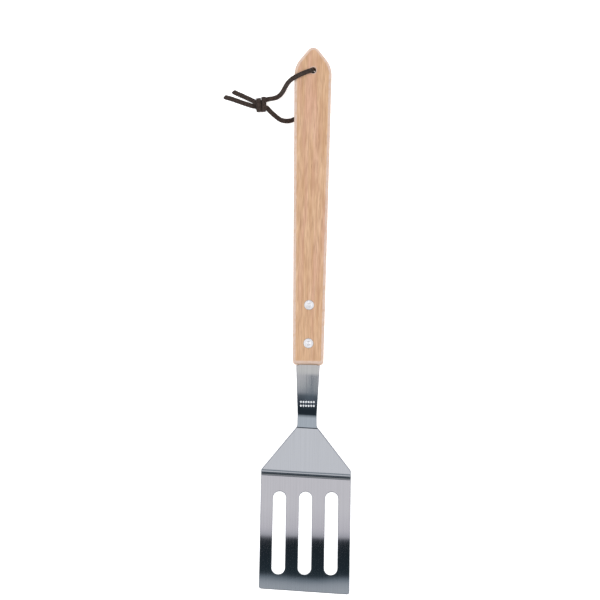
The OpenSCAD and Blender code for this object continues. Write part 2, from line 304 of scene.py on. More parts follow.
def streakMask(tree, vector, across, along, low, high, depth=1000.0, wander=0.0):
    inputs = {"Vector": vector, "Across": across, "Along": along, "Depth": depth, "Wander": wander,
              "Low": low, "High": high}
    return useGroup(tree, streaks, inputs)["Mask"]


def paintedEdgeMask(tree, vector, amount, grain):
    return useGroup(tree, paintedEdgeLight, {"Vector": vector, "Amount": amount, "Grain": grain})["Mask"]


# Where the handle and the hang hole are, from the frame
swing = next(joint for joint in frame["joints"] if joint["name"] == "lanyard_swing")
hangHole = Vector(swing["pos_m"])
handleTilt = -math.atan2(swing["axis"][1], swing["axis"][2])
hangAt = 239.4           # from the handle's blade end to the hang hole, along the handle
toRest = (Matrix.Translation(hangHole) @ Matrix.Rotation(handleTilt, 4, "X")
          @ Matrix.Translation((0, -hangAt * mm, 0)))


# Suede lace, in two lengths that meet in the hang hole
lace = {
    "width": 3.8,
    "thickness": 1.3,
    "ringStep": 0.5,
    "sectionPoints": 20,
    "sectionPowers": (0.45, 0.6),    # under 1, they square the section across and through
    "unevenness": 0.05,
    "swellGrain": 0.35,
    "napGrain": 0.9,
    "endSlant": 0.15,                # how far the cut ends slope, as a part of the width
    "endRings": 3,                   # rings over which an end rounds off
    "slantRings": 10,                # and over which it starts to slope
    "knotPlace": (-41.8, -26.7),
    "knotTurn": 4.0,
    "mouthAlong": 0.9,               # where it leaves the hang hole, from the hole's middle
    "topMouth": 19.59,
    "bottomMouth": 1.68,
}
# Points are x, y from the hang hole's middle, z from the floor, and the heading of the lace's width.
overHandle = [
    (0.0, 0.2, 10.6, 128), (0.0, 0.4, 13.8, 112), (-0.2, 0.7, 16.8, 104), (-1.0, 0.7, 19.2, 106),
    (-2.8, 0.3, 20.7, 108), (-5.4, -0.6, 21.2, 110), (-9.0, -2.2, 21.4, 114), (-13.0, -4.2, 21.7, 118),
    (-16.4, -6.2, 21.2, 124), (-19.0, -8.2, 19.0, 130), (-21.2, -10.8, 15.8, 135),
    (-22.8, -13.4, 11.8, 142), (-24.4, -16.2, 7.6, 145), (-26.4, -18.6, 4.2, 135),
    (-29.1, -20.5, 2.2, 120), (-32.2, -21.5, 1.6, 105), (-35.3, -22.0, 1.8, 110)]
underHandle = [
    (0.0, 0.2, 10.6, 128), (0.0, 0.3, 7.6, 146), (0.0, 0.1, 5.0, 160), (-0.1, -0.9, 2.8, 170),
    (-0.3, -2.9, 1.35, 172), (-0.7, -5.6, 0.8, 172), (-1.4, -10.0, 0.75, 171), (-2.4, -16.0, 0.75, 168),
    (-3.8, -22.0, 0.75, 164), (-5.8, -28.0, 0.75, 158), (-8.8, -33.0, 0.75, 142),
    (-12.6, -36.8, 0.75, 126), (-17.0, -39.2, 0.75, 106), (-21.6, -39.8, 0.75, 84),
    (-26.0, -38.8, 0.75, 66), (-30.1, -35.9, 0.8, 56), (-34.2, -32.4, 1.2, 50)]
# Inside the knot the points are from its middle, x along the lace and y across it.
frontTurn = [
    (4.1, 3.6, 2.3, 96), (2.9, 2.9, 2.2, 112), (1.9, 1.2, 2.1, 140), (1.6, -1.2, 2.1, 170),
    (1.8, -3.4, 2.3, 180), (2.1, -4.75, 3.3, 180), (2.2, -3.8, 4.45, 180), (2.25, -1.6, 4.9, 180),
    (2.25, 1.4, 4.95, 180), (2.2, 4.0, 4.6, 180), (2.15, 5.5, 3.4, 180), (2.1, 5.4, 1.8, 180),
    (2.0, 4.0, 0.8, 180), (1.9, 1.2, 0.75, 180), (1.75, -1.8, 0.75, 180), (1.5, -4.4, 0.9, 180),
    (1.2, -5.6, 2.2, 180), (0.7, -4.9, 3.3, 182), (0.0, -3.0, 3.5, 195), (-1.0, -0.6, 3.5, 220),
    (-2.4, 0.9, 3.5, 236)]
backTurn = [
    (3.8, -2.7, 2.1, 50), (2.6, -2.5, 3.0, 44), (1.2, -1.8, 3.45, 36), (-0.2, -0.4, 3.2, 26),
    (-1.3, 1.4, 2.6, 12), (-1.9, 3.3, 2.2, 4), (-2.15, 4.75, 3.1, 0), (-2.2, 3.95, 4.4, 0),
    (-2.2, 1.6, 4.9, 0), (-2.2, -1.4, 4.95, 0), (-2.25, -4.0, 4.6, 0), (-2.3, -5.5, 3.4, 0),
    (-2.35, -5.4, 1.8, 0), (-2.45, -4.1, 0.85, 6), (-2.9, -2.7, 0.75, 34)]
upperTail = [
    (-45.5, -25.6, 3.55, 242), (-49.1, -23.7, 3.1, 242), (-52.9, -21.9, 2.0, 243),
    (-56.9, -20.1, 1.1, 243), (-61.4, -18.2, 0.75, 244), (-65.6, -16.3, 0.75, 246)]
lowerTail = [
    (-45.5, -28.8, 1.0, 72), (-49.4, -27.9, 0.9, 75), (-54.4, -26.4, 0.8, 73),
    (-60.3, -24.5, 0.75, 72), (-66.5, -22.4, 0.75, 73), (-72.6, -20.8, 0.75, 75)]


def knotToLace(points):
    turn = math.radians(lace["knotTurn"])
    middleX, middleY = lace["knotPlace"]
    placed = []
    for x, y, z, heading in points:
        acrossX = middleX + x * math.cos(turn) - y * math.sin(turn)
        acrossY = middleY + x * math.sin(turn) + y * math.cos(turn)
        placed.append((acrossX, acrossY, z, heading + lace["knotTurn"]))
    return placed


def smoothRoute(points, step):
    # cubic stretches through the points, with tangents from their spacing
    spots = [Vector(point) for point in points]
    gaps = [(after.xyz - before.xyz).length for before, after in zip(spots, spots[1:])]
    slopes = []
    for i, spot in enumerate(spots):
        if i == 0:
            slopes.append((spots[1] - spots[0]) / gaps[0])
        elif i == len(spots) - 1:
            slopes.append((spots[-1] - spots[-2]) / gaps[-1])
        else:
            before = (spot - spots[i - 1]) / gaps[i - 1]
            after = (spots[i + 1] - spot) / gaps[i]
            slopes.append((before * gaps[i] + after * gaps[i - 1]) / (gaps[i] + gaps[i - 1]))
    route = [spots[0]]
    for i, gap in enumerate(gaps):
        count = max(1, round(gap / step))
        for j in range(1, count + 1):
            t = j / count
            start = spots[i] * (2 * t**3 - 3 * t**2 + 1) + slopes[i] * gap * (t**3 - 2 * t**2 + t)
            finish = spots[i + 1] * (3 * t**2 - 2 * t**3) + slopes[i + 1] * gap * (t**3 - t**2)
            route.append(start + finish)
    return route


def laceSection():
    acrossPower, throughPower = lace["sectionPowers"]
    section = []
    for k in range(lace["sectionPoints"]):
        angle = 2 * math.pi * (k + 0.5) / lace["sectionPoints"]
        x = math.copysign(abs(math.cos(angle)) ** acrossPower, math.cos(angle))
        y = math.copysign(abs(math.sin(angle)) ** throughPower, math.sin(angle))
        section.append((x, y))
    return section


def laceRings(route, slant):
    # one ring of points for each spot of the route, and the middle line
    origin = Vector((hangHole.x, hangHole.y, 0))
    halfWidth = lace["width"] / 2
    halfThick = lace["thickness"] / 2
    uneven = lace["unevenness"]
    section = laceSection()
    last = len(route) - 1
    verts = []
    centres = []
    for i, spot in enumerate(route):
        run = (route[min(i + 1, last)].xyz - route[max(i - 1, 0)].xyz).normalized()
        angle = math.radians(spot.w)
        flat = Vector((math.cos(angle), math.sin(angle), 0))
        across = (flat - run * flat.dot(run)).normalized()
        through = run.cross(across)
        toEnd = min(1.0, (last - i) / lace["endRings"])
        roundOff = math.sqrt(1 - (1 - toEnd) ** 2 * 0.75)
        slope = slant * halfWidth * max(0.0, 1 - (last - i) / lace["slantRings"])
        swollen = 1 + uneven * noise.noise(spot.xyz * lace["swellGrain"])
        centre = spot.xyz
        centres.append(origin + centre * mm)
        for x, y in section:
            nap = 1 + uneven * noise.noise(centre * lace["napGrain"] + Vector((x * 2, y * 2, 0)))
            place = centre + across * (x * halfWidth * roundOff * swollen)
            place = place + through * (y * halfThick * roundOff * nap) + run * (x * slope)
            verts.append(origin + place * mm)
    return verts, centres


def laceFaces(last, count):
    # the walls, then fans to the two end points that follow the rings
    around = [(k, (k + 1) % count) for k in range(count)]
    faces = []
    for i in range(last):
        for k, near in around:
            faces.append((i * count + k, i * count + near, (i + 1) * count + near, (i + 1) * count + k))
    firstEnd = (last + 1) * count
    for k, near in around:
        faces.append((firstEnd, near, k))
        faces.append((firstEnd + 1, last * count + k, last * count + near))
    return faces


def mapLace(mesh, lengths, count):
    # metres round the lace and along it
    layer = mesh.uv_layers.new(name="laceMap")
    around = 2 * (lace["width"] + lace["thickness"]) * mm
    for face in mesh.polygons:
        seam = face.index % count == count - 1
        for corner in face.loop_indices:
            vert = mesh.loops[corner].vertex_index
            side = vert % count
            if seam and side == 0:
                side = count
            layer.data[corner].uv = (around * side / count, lengths[min(vert // count, len(lengths) - 1)])


def sweepLace(name, points, material, slant):
    verts, centres = laceRings(smoothRoute(points, lace["ringStep"]), slant)
    lengths = [0.0]
    for before, after in zip(centres, centres[1:]):
        lengths.append(lengths[-1] + (after - before).length)
    mesh = bpy.data.meshes.new(name)
    count = lace["sectionPoints"]
    mesh.from_pydata(verts + [centres[0], centres[-1]], [], laceFaces(len(centres) - 1, count))
    mapLace(mesh, lengths, count)
    mesh.shade_smooth()
    return linkPiece(name, mesh, material), centres, lengths[-1]


def suedeMaterial():
    material, tree, shader = newMaterial("brownSuede", {
        "Specular IOR Level": 0.2, "Sheen Weight": 0.12, "Sheen Roughness": 0.6,
        "Sheen Tint": (0.75, 0.66, 0.6, 1)})
    along = addNode(tree, "ShaderNodeUVMap", uv_map="laceMap").outputs["UV"]
    nap = streakMask(tree, along, 2600.0, 700.0, 0.32, 0.68, wander=0.002)
    patch = mottle(tree, along, 330.0, 4.0)
    fibres = blendColours(tree, nap, (0.016, 0.010, 0.008, 1), (0.048, 0.033, 0.028, 1))
    worn = blendColours(tree, spread(tree, patch, 0.45, 0.75, 0, 0.45), fibres, (0.065, 0.046, 0.037, 1))
    tree.links.new(worn, shader.inputs["Base Color"])
    tree.links.new(spread(tree, nap, 0, 1, 0.98, 0.82), shader.inputs["Roughness"])
    fuzz = bump(tree, nap, 0.00012)
    tree.links.new(bump(tree, patch, 0.00025, fuzz), shader.inputs["Normal"])
    return material


suede = suedeMaterial()
frontRoute = overHandle + knotToLace(frontTurn) + upperTail
backRoute = underHandle + knotToLace(backTurn) + lowerTail
laceFront, frontPath, frontLength = sweepLace("laceFront", frontRoute, suede, lace["endSlant"])
laceBack, backPath, backLength = sweepLace("laceBack", backRoute, suede, -lace["endSlant"])
topMouth = (hangHole.x, hangHole.y + lace["mouthAlong"] * mm, lace["topMouth"] * mm)
bottomMouth = (hangHole.x, hangHole.y - lace["mouthAlong"] * mm, lace["bottomMouth"] * mm)
for piece, path, length, mouth in ((laceFront, frontPath, frontLength, topMouth),
                                   (laceBack, backPath, backLength, bottomMouth)):
    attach(piece, "lanyard")
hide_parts("lanyard_loop", "lanyard_knot", "lanyard_tail_a")
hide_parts("lanyard_tail_b")
print("lace swept:", round(frontLength / mm), "and", round(backLength / mm), "mm")


# Flat plates with rounded rims, for the sheet's blank and the handle
def arcPoints(centreX, centreY, radius, startAngle, endAngle, count):
    points = []
    for i in range(count + 1):
        angle = math.radians(startAngle + (endAngle - startAngle) * i / count)
        points.append((centreX + radius * math.cos(angle), centreY + radius * math.sin(angle)))
    return points


def roundedOutline(corners):
    # corners are x, y and the radius that rounds each of them
    outline = []
    for i, (x, y, radius) in enumerate(corners):
        spot = Vector((x, y))
        before = (Vector(corners[i - 1][:2]) - spot).normalized()
        after = (Vector(corners[(i + 1) % len(corners)][:2]) - spot).normalized()
        opening = before.angle(after)
        reach = radius / math.tan(opening / 2)
        middle = spot + (before + after).normalized() * (radius / math.sin(opening / 2))
        first = spot + before * reach - middle
        turn = math.pi - opening
        side = 1 if before.x * after.y - before.y * after.x < 0 else -1
        count = max(2, math.ceil(math.degrees(turn) / 6))
        for j in range(count + 1):
            angle = side * turn * j / count
            swung = Matrix.Rotation(angle, 2) @ first
            outline.append(tuple(middle + swung))
    return outline


def shrunkLoop(flat, points, rim, isHole):
    # the edge of the flat face, a rim's width inside the outline or outside the hole
    spots = [Vector(point) for point in points]
    area = sum(a.x * b.y - b.x * a.y for a, b in zip(spots, spots[1:] + spots[:1]))
    outward = 1 if (area > 0) != isHole else -1
    verts = []
    for i, spot in enumerate(spots):
        ahead = spots[(i + 1) % len(spots)] - spots[i - 1]
        normal = Vector((ahead.y, -ahead.x)).normalized() * outward
        verts.append(flat.verts.new((spot - normal * rim).to_3d()))
    for a, b in zip(verts, verts[1:] + verts[:1]):
        flat.edges.new((a, b))


def flatFace(loops, cuts):
    flat = bmesh.new()
    for i, (points, rim) in enumerate(loops):
        shrunkLoop(flat, points, rim, i > 0)
    bmesh.ops.triangle_fill(flat, use_beauty=True, edges=flat.edges[:], normal=(0, 0, 1))
    for point, normal in cuts:
        everything = flat.verts[:] + flat.edges[:] + flat.faces[:]
        bmesh.ops.bisect_plane(flat, geom=everything, plane_co=point, plane_no=normal, dist=1e-6)
    bmesh.ops.recalc_face_normals(flat, faces=flat.faces[:])
    if flat.faces[0].normal.z < 0:
        bmesh.ops.reverse_faces(flat, faces=flat.faces[:])
    flat.verts.ensure_lookup_table()
    flat.verts.index_update()
    return flat


def rimDirections(walls):
    # which way is out of the metal or wood at each point of the flat face's edge
    directions = {}
    for loop in walls:
        run = (loop.link_loop_next.vert.co - loop.vert.co).normalized()
        for vert in loop.edge.verts:
            directions[vert.index] = directions.get(vert.index, Vector()) + Vector((run.y, -run.x, 0))
    return {index: direction.normalized() for index, direction in directions.items()}


def plateMesh(name, loops, thickness, cuts, rimSteps):
    # loops are (points, rim radius): the outline first, then the holes
    flat = flatFace(loops, cuts)
    rimSpots = [(Vector(point), rim) for points, rim in loops for point in points]
    count = len(flat.verts)
    half = thickness / 2
    up = Vector((0, 0, 1))
    verts = [vert.co + up * half for vert in flat.verts] + [vert.co - up * half for vert in flat.verts]
    normals = [up] * count + [-up] * count
    paintedEdgeShare = [0.0] * (2 * count)
    faces = [tuple(vert.index for vert in face.verts) for face in flat.faces]
    faces += [tuple(vert.index + count for vert in reversed(face.verts)) for face in flat.faces]
    walls = [edge.link_loops[0] for edge in flat.edges if edge.is_boundary]
    angles = [90 - 90 * j / rimSteps for j in range(1, rimSteps + 1)]
    angles += [-angle for angle in reversed(angles)]
    columns = {}
    for index, outward in rimDirections(walls).items():
        base = flat.verts[index].co
        rim = min(rimSpots, key=lambda spot: (spot[0] - base.xy).length_squared)[1]
        column = [index]
        for j, angle in enumerate(angles):
            rise = math.sin(math.radians(angle))
            reach = math.cos(math.radians(angle))
            level = (half - rim) * (1 if j < rimSteps else -1)
            normals.append((outward * reach + up * rise).normalized())
            verts.append(base + outward * rim * reach + up * (level + rim * rise))
            # share of the rounded rim that takes the painted edge light and shade, stored as the "edge"
            # attribute
            paintedEdgeShare.append(min(1.0, 1.6 * abs(math.sin(math.radians(2 * angle)))))
            column.append(len(verts) - 1)
        columns[index] = column + [index + count]
    for loop in walls:
        near = columns[loop.vert.index]
        far = columns[loop.link_loop_next.vert.index]
        for j in range(len(near) - 1):
            faces.append((far[j], near[j], near[j + 1], far[j + 1]))
    flat.free()
    mesh = bpy.data.meshes.new(name)
    mesh.from_pydata([tuple(vert) for vert in verts], [], faces)
    stored = mesh.attributes.new("blankNormal", "FLOAT_VECTOR", "POINT")
    for item, normal in zip(stored.data, normals):
        item.vector = normal
    stored = mesh.attributes.new("edge", "FLOAT", "POINT")
    for item, share in zip(stored.data, paintedEdgeShare):
        item.value = share
    mesh.shade_smooth()
    return mesh


# The folded steel sheet: blade, riser, bowed neck and tang
sheet = {
    "thickness": 1.5,
    "rim": 0.35,
    "bladeWidth": 73.6,
    "bladeLength": 96.7,
    "riserLength": 49.2,
    "stubLength": 8.0,
    "fullWidthLength": 4.6,      # past the heel fold, before the sheet narrows
    "flareSpare": 0.15,
    "flareAt": 1.0,              # from the shoulder fold
    "waistWidth": 15.6,
    "waistAt": 10.0,             # from the shoulder fold
    "neckWidth": 19.2,
    "neckGap": 0.5,              # bare neck left before the wood
    "tangWidth": 15.0,
    "tangLength": 62.0,
    "cornerRadius": 2.0,         # roundings in plan, from the blade's front to the tang's end
    "fullWidthRadius": 3.5,
    "flareRadius": 5.0,
    "waistRadius": 60.0,
    "neckRadius": 0.6,
    "tangShoulderRadius": 0.3,
    "tangEndRadius": 1.0,
    "frontSkew": 2.9,
    "foldSkew": 2.4,
    "bladeSlope": -10.5,
    "riserSlope": 40.7,
    "neckSlope": 22.0,
    "heelRadius": 4.75,
    "shoulderRadius": 2.75,
    "bowRadius": 115.0,
    "crown": 0.8,                # how much the blade bows, each way from its mean slope
    "crownFlat": 3.0,            # flat left at each end of the bow
    "footTurn": 1.6,             # the riser's foot eases into the heel fold
    "footAt": 4.0,
    "footReach": 2.0,
    "slotCount": 3,
    "slotWidth": 10.7,
    "slotLength": 69.0,
    "slotPitch": 21.3,
    "slotMargin": 14.0,
}


def slopeLine(degrees):
    return Vector((math.cos(math.radians(degrees)), math.sin(math.radians(degrees))))


def atRest(spot):
    place = toRest @ Vector((0, spot.x * mm, spot.y * mm))
    return Vector((place.y, place.z))


# corners of the sheet's mid line, along and above the handle's own middle line
bowRadius = sheet["bowRadius"]
bladeSlope = sheet["bladeSlope"]
riserSlope = sheet["riserSlope"]
neckSlope = sheet["neckSlope"]
bowStart = -bowRadius * Vector((math.sin(math.radians(neckSlope)), 1 - math.cos(math.radians(neckSlope))))
shoulder = bowStart - sheet["stubLength"] * slopeLine(neckSlope)
heel = shoulder - sheet["riserLength"] * slopeLine(riserSlope)
front = heel - sheet["bladeLength"] * slopeLine(bladeSlope)
bowCorner = Vector((-bowRadius * math.tan(math.radians(neckSlope / 2)), 0))
crown = sheet["crown"]
footSlope = riserSlope - sheet["footTurn"]
halfBlade = sheet["bladeLength"] / 2
crownRise = halfBlade * math.tan(math.radians(crown))
crownCorner = front + halfBlade * slopeLine(bladeSlope) + crownRise * slopeLine(bladeSlope + 90)
crownRadius = (halfBlade - sheet["crownFlat"]) / math.tan(math.radians(crown))
footCorner = heel + sheet["footAt"] * slopeLine(footSlope)
footRadius = sheet["footReach"] / math.tan(math.radians(sheet["footTurn"] / 2))
tiltDegrees = math.degrees(handleTilt)
folds = [
    ("Crown", atRest(crownCorner), bladeSlope + crown, bladeSlope - crown, crownRadius, 10),
    ("Heel", atRest(heel), bladeSlope - crown, footSlope, sheet["heelRadius"], 12),
    ("Foot", atRest(footCorner), footSlope, riserSlope, footRadius, 6),
    ("Shoulder", atRest(shoulder), riserSlope, neckSlope, sheet["shoulderRadius"], 8),
    ("Bow", atRest(bowCorner), neckSlope, 0.0, bowRadius, 36),
]
foldNames = [fold[0] for fold in folds]
shadedFolds = ("Heel", "Shoulder")       # the tight folds, where painted shade darkens the steel and its roughness rises


def bendGroup():
    # what one fold adds to the height and the slope of the flat sheet
    takes = {"Along": ("Float", 0.0), "Corner Along": ("Float", 0.0), "Corner Up": ("Float", 0.0),
             "Slope In": ("Float", 0.0), "Slope Out": ("Float", 0.0), "Radius": ("Float", 0.01)}
    tree, start, end = newTree("oneBend", "GeometryNodeTree", takes, {"Rise": "Float", "Turn": "Float"})
    slopeIn = start["Slope In"]
    slopeOut = start["Slope Out"]
    middle = calc(tree, "MULTIPLY", calc(tree, "ADD", slopeIn, slopeOut), 0.5)
    half = calc(tree, "MULTIPLY", calc(tree, "SUBTRACT", slopeOut, slopeIn), 0.5)
    signed = calc(tree, "MULTIPLY", start["Radius"], calc(tree, "SIGN", half))
    reach = calc(tree, "DIVIDE", signed, calc(tree, "COSINE", half))
    centreAlong = calc(tree, "SUBTRACT", start["Corner Along"],
                       calc(tree, "MULTIPLY", reach, calc(tree, "SINE", middle)))
    centreUp = calc(tree, "ADD", start["Corner Up"],
                    calc(tree, "MULTIPLY", reach, calc(tree, "COSINE", middle)))
    sineIn = calc(tree, "SINE", slopeIn)
    sineOut = calc(tree, "SINE", slopeOut)
    sine = calc(tree, "DIVIDE", calc(tree, "SUBTRACT", start["Along"], centreAlong), signed)
    sine = calc(tree, "MAXIMUM", sine, calc(tree, "MINIMUM", sineIn, sineOut))
    sine = calc(tree, "MINIMUM", sine, calc(tree, "MAXIMUM", sineIn, sineOut))
    slope = calc(tree, "ARCSINE", sine)
    onArcAlong = calc(tree, "ADD", centreAlong, calc(tree, "MULTIPLY", signed, sine))
    onArcUp = calc(tree, "SUBTRACT", centreUp,
                   calc(tree, "MULTIPLY", signed, calc(tree, "COSINE", slope)))
    past = calc(tree, "SUBTRACT", start["Along"], onArcAlong)
    level = calc(tree, "ADD", onArcUp, calc(tree, "MULTIPLY", past, calc(tree, "TANGENT", slope)))
    fromCorner = calc(tree, "SUBTRACT", start["Along"], start["Corner Along"])
    straight = calc(tree, "ADD", start["Corner Up"],
                    calc(tree, "MULTIPLY", fromCorner, calc(tree, "TANGENT", slopeIn)))
    tree.links.new(calc(tree, "SUBTRACT", level, straight), end["Rise"])
    tree.links.new(calc(tree, "SUBTRACT", slope, slopeIn), end["Turn"])
    return tree


def foldGroup(bend):
    # lifts a flat blank onto the folded mid surface; the blank's own z is kept along its normal
    takes = {"Geometry": ("Geometry", None), "Front Along": ("Float", 0.0), "Front Up": ("Float", 0.0),
             "Front Slope": ("Float", 0.0), "Skew": ("Float", 0.0), "Skew Along": ("Float", 0.0)}
    for label in foldNames:
        for part in ("Along", "Up", "Slope In", "Slope Out", "Radius"):
            takes[label + " " + part] = ("Float", 0.0)
    tree, start, end = newTree("foldSheet", "GeometryNodeTree", takes, {"Geometry": "Geometry"})
    position = addNode(tree, "GeometryNodeInputPosition").outputs[0]
    axes = addNode(tree, "ShaderNodeSeparateXYZ", {0: position}).outputs
    sinSkew = calc(tree, "SINE", start["Skew"])
    cosSkew = calc(tree, "COSINE", start["Skew"])
    fromSkew = calc(tree, "SUBTRACT", axes["Y"], start["Skew Along"])
    along = calc(tree, "ADD", calc(tree, "MULTIPLY", axes["X"], sinSkew),
                 calc(tree, "MULTIPLY", fromSkew, cosSkew))
    along = calc(tree, "ADD", along, start["Skew Along"])
    fromFront = calc(tree, "SUBTRACT", along, start["Front Along"])
    up = calc(tree, "ADD", start["Front Up"],
              calc(tree, "MULTIPLY", fromFront, calc(tree, "TANGENT", start["Front Slope"])))
    slope = start["Front Slope"]
    paintedFoldShade = None
    for label in foldNames:
        one = useGroup(tree, bend, {
            "Along": along, "Corner Along": start[label + " Along"], "Corner Up": start[label + " Up"],
            "Slope In": start[label + " Slope In"], "Slope Out": start[label + " Slope Out"],
            "Radius": start[label + " Radius"]}, "GeometryNodeGroup")
        up = calc(tree, "ADD", up, one["Rise"])
        slope = calc(tree, "ADD", slope, one["Turn"])
        # mask for painted shade, peaking in the middle of each tight fold
        if label in shadedFolds:
            whole = calc(tree, "SUBTRACT", start[label + " Slope Out"], start[label + " Slope In"])
            part = calc(tree, "DIVIDE", one["Turn"], whole)
            here = calc(tree, "MULTIPLY", calc(tree, "MULTIPLY", part, calc(tree, "SUBTRACT", 1, part)), 4)
            paintedFoldShade = here if paintedFoldShade is None else calc(tree, "ADD", paintedFoldShade, here)
    sinSlope = calc(tree, "SINE", slope)
    cosSlope = calc(tree, "COSINE", slope)
    back = calc(tree, "MULTIPLY", sinSlope, -1)
    upward = toVector(tree, calc(tree, "MULTIPLY", back, sinSkew),
                      calc(tree, "MULTIPLY", back, cosSkew), cosSlope)
    forward = toVector(tree, calc(tree, "MULTIPLY", cosSlope, sinSkew),
                       calc(tree, "MULTIPLY", cosSlope, cosSkew), sinSlope)
    sideways = toVector(tree, cosSkew, calc(tree, "MULTIPLY", sinSkew, -1))
    lift = vectorCalc(tree, "SCALE", upward, axes["Z"])
    place = vectorCalc(tree, "ADD", toVector(tree, axes["X"], axes["Y"], up), lift)
    named = addNode(tree, "GeometryNodeInputNamedAttribute", {"Name": "blankNormal"},
                    data_type="FLOAT_VECTOR")
    blank = addNode(tree, "ShaderNodeSeparateXYZ", {0: named.outputs["Attribute"]}).outputs
    total = None
    for axis, direction in (("X", sideways), ("Y", forward), ("Z", upward)):
        part = vectorCalc(tree, "SCALE", direction, blank[axis])
        total = part if total is None else vectorCalc(tree, "ADD", total, part)
    keep = addNode(tree, "GeometryNodeStoreNamedAttribute",
                   {"Geometry": start["Geometry"], "Name": "sheetNormal", "Value": total},
                   data_type="FLOAT_VECTOR", domain="POINT")
    dull = addNode(tree, "GeometryNodeStoreNamedAttribute",
                   {"Geometry": keep.outputs[0], "Name": "paintedFoldShade", "Value": paintedFoldShade},
                   data_type="FLOAT", domain="POINT")
    moved = addNode(tree, "GeometryNodeSetPosition", {"Geometry": dull.outputs[0], "Position": place})
    tree.links.new(moved.outputs[0], end["Geometry"])
    return tree


def foldValues():
    values = {"Front Along": atRest(front).x, "Front Up": atRest(front).y,
              "Front Slope": math.radians(bladeSlope + crown) + handleTilt,
              "Skew": math.radians(sheet["foldSkew"]), "Skew Along": atRest(heel).x}
    for label, corner, slopeIn, slopeOut, radius, steps in folds:
        values[label + " Along"] = corner.x
        values[label + " Up"] = corner.y
        values[label + " Slope In"] = math.radians(slopeIn) + handleTilt
        values[label + " Slope Out"] = math.radians(slopeOut) + handleTilt
        values[label + " Radius"] = radius * mm
    return values


def sheetTree(fold, material):
    # the modifier's tree: fold the blank, realize it and give it its material
    takes = {"Geometry": ("Geometry", None)}
    for label, value in foldValues().items():
        takes[label] = ("Float", value)
    tree, start, end = newTree("sheetFromBlank", "GeometryNodeTree", takes, {"Geometry": "Geometry"})
    inputs = {label: start[label] for label in takes}
    finishTree(tree, useGroup(tree, fold, inputs, "GeometryNodeGroup")["Geometry"], material, end)
    return tree


def finishTree(tree, geometry, material, end):
    real = addNode(tree, "GeometryNodeRealizeInstances", {"Geometry": geometry})
    finish = addNode(tree, "GeometryNodeSetMaterial", {"Geometry": real.outputs[0], "Material": material})
    tree.links.new(finish.outputs[0], end["Geometry"])


def keepResult(piece):
    # turns what the modifiers make into the piece's plain mesh
    bpy.context.view_layer.update()
    evaluated = piece.evaluated_get(bpy.context.evaluated_depsgraph_get())
    mesh = bpy.data.meshes.new_from_object(evaluated)
    mesh.name = piece.name
    piece.modifiers.clear()
    piece.data = mesh
    return mesh


def runTree(piece, tree, values):
    # a tree's inputs are set by identifier
    modifier = piece.modifiers.new("build", "NODES")
    modifier.node_group = tree
    sockets = {item.name: item.identifier for item in tree.interface.items_tree if item.in_out == "INPUT"}
    for label, value in values.items():
        modifier[sockets[label]] = value
    return keepResult(piece)


def foldStations():
    # where the folds start, step and end, along the tool
    stations = []
    for label, corner, slopeIn, slopeOut, radius, steps in folds:
        first = slopeIn + tiltDegrees
        last = slopeOut + tiltDegrees
        side = 1 if last > first else -1
        middle = math.radians((first + last) / 2)
        reach = side * radius * mm / math.cos(math.radians(last - first) / 2)
        centre = corner.x - reach * math.sin(middle)
        for i in range(steps + 1):
            slope = math.radians(first + (last - first) * i / steps)
            stations.append(centre + side * radius * mm * math.sin(slope))
    return stations


def sheetBlank():
    width = sheet["bladeWidth"] / 2 * mm
    frontY = atRest(front).x
    heelY = atRest(heel).x
    shoulderY = atRest(shoulder).x
    neckEnd = atRest(Vector((0, 0))).x - sheet["neckGap"] * mm
    tangEnd = atRest(Vector((sheet["tangLength"], 0))).x
    bladeTilt = math.radians(bladeSlope) + handleTilt
    drop = width * math.tan(math.radians(sheet["frontSkew"]))
    fullY = heelY + sheet["fullWidthLength"] * mm
    waist = sheet["waistWidth"] / 2 * mm
    flare = waist + sheet["flareSpare"] * mm
    flareY = shoulderY + sheet["flareAt"] * mm
    waistY = shoulderY + sheet["waistAt"] * mm
    neck = sheet["neckWidth"] / 2 * mm
    tang = sheet["tangWidth"] / 2 * mm
    corners = [(width, frontY - drop, "cornerRadius"), (width, fullY, "fullWidthRadius"),
               (flare, flareY, "flareRadius"), (waist, waistY, "waistRadius"),
               (neck, neckEnd, "neckRadius"), (tang, neckEnd + 0.01 * mm, "tangShoulderRadius"),
               (tang, tangEnd, "tangEndRadius")]
    right = [(x, y, sheet[radius] * mm) for x, y, radius in corners]
    left = [(-x, y, radius) for x, y, radius in reversed(right[1:])]
    outline = roundedOutline(right + left + [(-width, frontY + drop, right[0][2])])
    loops = [(outline, sheet["rim"] * mm)]
    slotRadius = sheet["slotWidth"] / 2 * mm
    squash = math.cos(bladeTilt)
    for i in range(sheet["slotCount"]):
        x = (i - (sheet["slotCount"] - 1) / 2) * sheet["slotPitch"] * mm
        near = sheet["slotMargin"] * mm + slotRadius
        far = (sheet["slotMargin"] + sheet["slotLength"]) * mm - slotRadius
        ends = arcPoints(x, far, slotRadius, 0, 180, 28) + arcPoints(x, near, slotRadius, 180, 360, 28)
        loops.append(([(px, frontY + py * squash) for px, py in ends], sheet["rim"] * mm))
    skew = math.radians(sheet["foldSkew"])
    cutNormal = Vector((math.sin(skew), math.cos(skew), 0))
    cuts = []
    for station in foldStations():
        onLine = Vector((0, heelY, 0)) + cutNormal * (station - heelY)
        cuts.append((onLine, cutNormal))
    return plateMesh("bladeSheet", loops, sheet["thickness"] * mm, cuts, 4)


